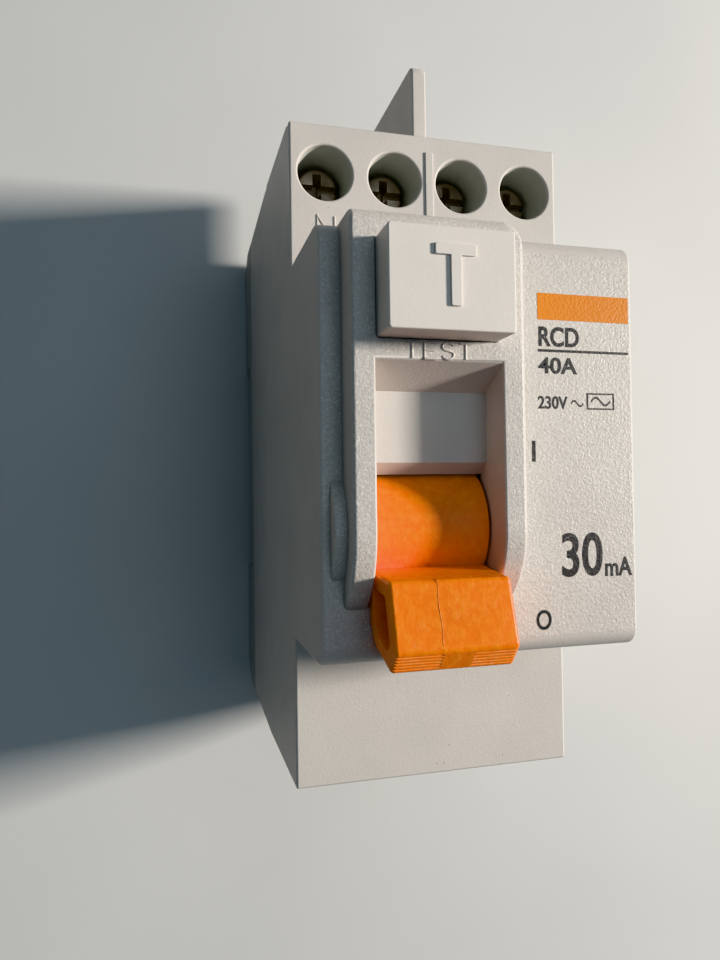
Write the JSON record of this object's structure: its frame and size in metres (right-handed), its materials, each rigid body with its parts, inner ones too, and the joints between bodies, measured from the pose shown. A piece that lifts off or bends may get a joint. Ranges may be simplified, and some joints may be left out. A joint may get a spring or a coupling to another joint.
{
  "type": "residual current device",
  "caption": "Modular residual current device for rail mounting: moulded casing with toggle, test button, recessed screw clamps, rail latch, and the contacts and trip mechanism inside.",
  "frame": {"origin": "centre of the seat that rests on the front of the mounting rail", "axes": "+X across the width to the right of the front face, +Y up the height to the terminals, +Z out of the front"},
  "size_m": [0.036, 0.092, 0.0741],
  "materials": {
    "casing": "fine spark-eroded light grey",
    "base": "moulded grey",
    "button": "smooth satin off-white",
    "toggle": "satin orange",
    "frame": "moulded black",
    "steel": "zinc plated",
    "spring": "bright spring wire",
    "copper": "bare copper",
    "silver": "silver contact tip",
    "core": "coated ring core",
    "winding": "enamelled copper wire",
    "insulation": "wire insulation",
    "relay": "sealed relay case",
    "resistor": "lacquered resistor"
  },
  "bodies": {
    "housing": {"front_housing": "casing", "rear_base": "base", "terminal_barrier": "casing", "din_latch_spring": "spring", "toggle_axle": "steel", "mechanism_frame": "frame", "carrier_axle": "steel", "opening_spring": "spring", "toroid_core": "core", "secondary_winding": "winding", "trip_relay": "relay", "trip_axle": "steel", "trip_lever_spring": "spring", "test_button_guide": "frame", "test_button_spring": "spring", "test_resistor": "resistor", "input_plate_1": "copper", "output_plate_1": "copper", "fixed_contact_1": "silver", "primary_lead_1": "insulation", "secondary_lead_1": "insulation", "input_plate_2": "copper", "output_plate_2": "copper", "fixed_contact_2": "silver", "primary_lead_2": "insulation", "secondary_lead_2": "insulation"},
    "toggle": {"toggle_lever": "toggle"},
    "link": {"link_rod": "steel"},
    "carrier": {"contact_carrier": "frame", "contact_arm_1": "copper", "moving_contact_1": "silver", "contact_spring_1": "spring", "contact_arm_2": "copper", "moving_contact_2": "silver", "contact_spring_2": "spring"},
    "test_button": {"test_button": "button"},
    "test_blade": {"test_contact_blade": "copper"},
    "plunger": {"relay_plunger": "steel"},
    "trip_lever": {"trip_lever": "frame"},
    "latch": {"din_latch": "frame"},
    "screw_1": {"terminal_screw_1": "steel"},
    "clamp_1": {"cage_clamp_1": "steel"},
    "screw_2": {"terminal_screw_2": "steel"},
    "clamp_2": {"cage_clamp_2": "steel"},
    "screw_3": {"terminal_screw_3": "steel"},
    "clamp_3": {"cage_clamp_3": "steel"},
    "screw_4": {"terminal_screw_4": "steel"},
    "clamp_4": {"cage_clamp_4": "steel"}
  },
  "joints": [
    {"name": "toggle_swing", "type": "hinge", "parent": "housing", "child": "toggle", "pos_m": [-0.0067, -0.0088, 0.05465], "axis": [-1, 0, 0], "range_deg": [0, 80]},
    {"name": "link_pivot", "type": "hinge", "parent": "toggle", "child": "link", "pos_m": [-0.0067, -0.00456, 0.04959], "axis": [-1, 0, 0], "range_deg": [-81, 1]},
    {"name": "carrier_swing", "type": "hinge", "parent": "housing", "child": "carrier", "pos_m": [-0.004, 0.0032, 0.026], "axis": [1, 0, 0], "range_deg": [0, 22.5]},
    {"name": "test_push", "type": "slide", "parent": "housing", "child": "test_button", "axis": [0, 0, -1], "range_m": [0, 0.0022], "stiffness_N_per_m": 400, "springref_m": -0.0015, "deforming": ["test_button_spring"]},
    {"name": "test_blade_bend", "type": "hinge", "parent": "housing", "child": "test_blade", "pos_m": [0.008, 0.0155, 0.0477], "axis": [0, -1, 0], "range_deg": [0, 8]},
    {"name": "plunger_lift", "type": "slide", "parent": "housing", "child": "plunger", "axis": [0, 0, 1], "range_m": [0, 0.0015]},
    {"name": "trip_lever_tilt", "type": "hinge", "parent": "housing", "child": "trip_lever", "pos_m": [0.0113, -0.008, 0.031], "axis": [-1, 0, 0], "range_deg": [0, 8], "deforming": ["trip_lever_spring"]},
    {"name": "latch_slide", "type": "slide", "parent": "housing", "child": "latch", "axis": [0, -1, 0], "range_m": [0, 0.004], "stiffness_N_per_m": 300, "springref_m": -0.002, "deforming": ["din_latch_spring"]},
    {"name": "screw_1_turn", "type": "hinge", "parent": "housing", "child": "screw_1", "pos_m": [-0.0135, 0.0345, 0.03], "axis": [0, 0, -1], "range_deg": [0, 2340]},
    {"name": "clamp_1_lift", "type": "slide", "parent": "housing", "child": "clamp_1", "axis": [0, 0, 1], "range_m": [0, 0.0052]},
    {"name": "screw_2_turn", "type": "hinge", "parent": "housing", "child": "screw_2", "pos_m": [-0.0045, 0.0345, 0.03], "axis": [0, 0, -1], "range_deg": [0, 2340]},
    {"name": "clamp_2_lift", "type": "slide", "parent": "housing", "child": "clamp_2", "axis": [0, 0, 1], "range_m": [0, 0.0052]},
    {"name": "screw_3_turn", "type": "hinge", "parent": "housing", "child": "screw_3", "pos_m": [0.0045, 0.0345, 0.03], "axis": [0, 0, -1], "range_deg": [0, 2340]},
    {"name": "clamp_3_lift", "type": "slide", "parent": "housing", "child": "clamp_3", "axis": [0, 0, 1], "range_m": [0, 0.0052]},
    {"name": "screw_4_turn", "type": "hinge", "parent": "housing", "child": "screw_4", "pos_m": [0.0135, 0.0345, 0.03], "axis": [0, 0, -1], "range_deg": [0, 2340]},
    {"name": "clamp_4_lift", "type": "slide", "parent": "housing", "child": "clamp_4", "axis": [0, 0, 1], "range_m": [0, 0.0052]}
  ],
  "couplings": [
    {"joint": "link_pivot", "follows": "toggle_swing", "ratio": -1},
    {"joint": "carrier_swing", "follows": "toggle_swing", "ratio": 0.275},
    {"joint": "test_blade_bend", "follows": "test_push", "rad_per_m": 61.1},
    {"joint": "trip_lever_tilt", "follows": "plunger_lift", "rad_per_m": 90.93},
    {"joint": "screw_1_turn", "follows": "clamp_1_lift", "rad_per_m": 7853.8},
    {"joint": "screw_2_turn", "follows": "clamp_2_lift", "rad_per_m": 7853.8},
    {"joint": "screw_3_turn", "follows": "clamp_3_lift", "rad_per_m": 7853.8},
    {"joint": "screw_4_turn", "follows": "clamp_4_lift", "rad_per_m": 7853.8}
  ]
}
